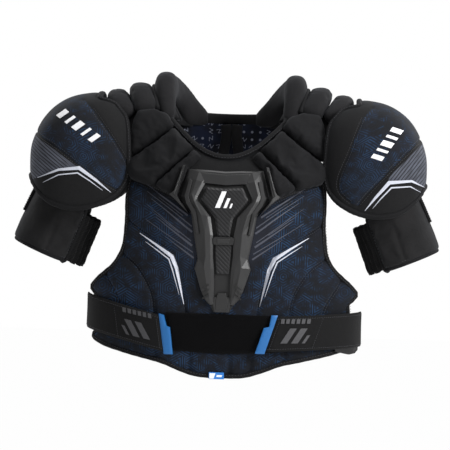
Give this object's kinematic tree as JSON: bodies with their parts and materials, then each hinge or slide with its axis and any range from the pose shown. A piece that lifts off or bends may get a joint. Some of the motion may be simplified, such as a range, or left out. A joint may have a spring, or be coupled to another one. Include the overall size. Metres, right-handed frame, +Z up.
{
  "type": "hockey shoulder pads",
  "caption": "Protective upper-body pads: quilted chest and back panels, moulded sternum guard, collar, padded shoulder arches, cup caps, upper-arm guards and side straps.",
  "frame": {"origin": "middle of the overall width and depth, at the level of the lowest bottom edge of the chest panel", "axes": "+Z up, chest faces -Y, the wearer's left is +X"},
  "size_m": [0.6406, 0.2768, 0.447],
  "materials": {
    "fabric_black": "matte",
    "fabric_navy": "matte",
    "foam_liner": "matte",
    "plastic_shell": "satin",
    "carbon_insert": "satin",
    "webbing": "matte",
    "binding": "matte",
    "blue_trim": "matte",
    "loop_fabric": "matte"
  },
  "bodies": {
    "chest": {"chest_shell": "fabric_navy", "front_edge_binding": "binding", "front_liner": "foam_liner", "neck_binding": "binding", "sternum_base_pad": "loop_fabric", "sternum_frame": "plastic_shell", "sternum_shield_insert": "carbon_insert", "sternum_spine_insert": "carbon_insert", "belly_loop_patch": "loop_fabric", "size_tab": "blue_trim", "back_neck_binding": "binding", "clavicle_inner_right": "fabric_black", "clavicle_inner_left": "fabric_black", "clavicle_middle_right": "fabric_black", "clavicle_middle_left": "fabric_black", "clavicle_outer_right": "fabric_black", "clavicle_outer_left": "fabric_black", "sternum_fin_right": "plastic_shell", "sternum_fin_left": "plastic_shell", "shoulder_yoke_right": "foam_liner", "shoulder_yoke_left": "foam_liner", "arch_roll_inner_right": "fabric_black", "arch_roll_inner_left": "fabric_black", "collar_right": "fabric_black", "collar_left": "fabric_black"},
    "back": {"back_panel": "fabric_navy", "back_edge_binding": "binding", "back_liner": "foam_liner", "back_spine_pad": "fabric_black", "hang_loop": "webbing", "back_side_pad_right": "fabric_black", "back_side_pad_left": "fabric_black", "belt_elastic_right": "webbing", "belt_elastic_left": "webbing"},
    "arch_right": {"arch_roll_outer_right": "fabric_black"},
    "cap_right": {"cap_cover_right": "fabric_navy", "cap_binding_right": "binding", "cap_insert_right": "plastic_shell", "cap_liner_right": "foam_liner"},
    "hanger_right": {"bicep_hanger_right": "webbing"},
    "bicep_right": {"bicep_pad_right": "fabric_black", "bicep_insert_right": "plastic_shell", "bicep_elastic_right": "webbing"},
    "belt_right": {"belt_strap_right": "webbing", "belt_tip_right": "blue_trim", "belt_hook_right": "loop_fabric"},
    "arch_left": {"arch_roll_outer_left": "fabric_black"},
    "cap_left": {"cap_cover_left": "fabric_navy", "cap_binding_left": "binding", "cap_insert_left": "plastic_shell", "cap_liner_left": "foam_liner"},
    "hanger_left": {"bicep_hanger_left": "webbing"},
    "bicep_left": {"bicep_pad_left": "fabric_black", "bicep_insert_left": "plastic_shell", "bicep_elastic_left": "webbing"},
    "belt_left": {"belt_strap_left": "webbing", "belt_tip_left": "blue_trim", "belt_hook_left": "loop_fabric"}
  },
  "joints": [
    {"name": "back_swing", "type": "hinge", "parent": "chest", "child": "back", "pos_m": [0, 0.08539, 0.38], "axis": [1, 0, 0], "range_deg": [0, 40], "stiffness_Nm_per_rad": 0.4},
    {"name": "arch_lift_right", "type": "hinge", "parent": "chest", "child": "arch_right", "pos_m": [-0.1525, 0.01138, 0.421], "axis": [0, 1, 0], "range_deg": [0, 28], "stiffness_Nm_per_rad": 0.3},
    {"name": "cap_lift_right", "type": "hinge", "parent": "arch_right", "child": "cap_right", "pos_m": [-0.1865, 0.01138, 0.411], "axis": [0, 1, 0], "range_deg": [0, 28], "stiffness_Nm_per_rad": 0.3},
    {"name": "hanger_swing_right", "type": "hinge", "parent": "cap_right", "child": "hanger_right", "pos_m": [-0.294, 0.00539, 0.271], "axis": [0, 1, 0], "range_deg": [-5, 35], "stiffness_Nm_per_rad": 0.8},
    {"name": "bicep_adjust_right", "type": "slide", "parent": "hanger_right", "child": "bicep_right", "axis": [-0.3859, 0, -0.9225], "range_m": [0, 0.025], "stiffness_N_per_m": 300},
    {"name": "belt_open_right", "type": "hinge", "parent": "chest", "child": "belt_right", "pos_m": [-0.2042, -0.00112, 0.09], "axis": [0, 0, -1], "range_deg": [0, 85], "stiffness_Nm_per_rad": 0.05},
    {"name": "arch_lift_left", "type": "hinge", "parent": "chest", "child": "arch_left", "pos_m": [0.1525, 0.01138, 0.421], "axis": [0, -1, 0], "range_deg": [0, 28], "stiffness_Nm_per_rad": 0.3},
    {"name": "cap_lift_left", "type": "hinge", "parent": "arch_left", "child": "cap_left", "pos_m": [0.1865, 0.01138, 0.411], "axis": [0, -1, 0], "range_deg": [0, 28], "stiffness_Nm_per_rad": 0.3},
    {"name": "hanger_swing_left", "type": "hinge", "parent": "cap_left", "child": "hanger_left", "pos_m": [0.294, 0.00539, 0.271], "axis": [0, -1, 0], "range_deg": [-5, 35], "stiffness_Nm_per_rad": 0.8},
    {"name": "bicep_adjust_left", "type": "slide", "parent": "hanger_left", "child": "bicep_left", "axis": [0.3859, 0, -0.9225], "range_m": [0, 0.025], "stiffness_N_per_m": 300},
    {"name": "belt_open_left", "type": "hinge", "parent": "chest", "child": "belt_left", "pos_m": [0.2042, -0.00112, 0.072], "axis": [0, 0, 1], "range_deg": [0, 85], "stiffness_Nm_per_rad": 0.05}
  ],
  "couplings": [
    {"joint": "cap_lift_right", "follows": "arch_lift_right", "ratio": 1},
    {"joint": "cap_lift_left", "follows": "arch_lift_left", "ratio": 1}
  ]
}
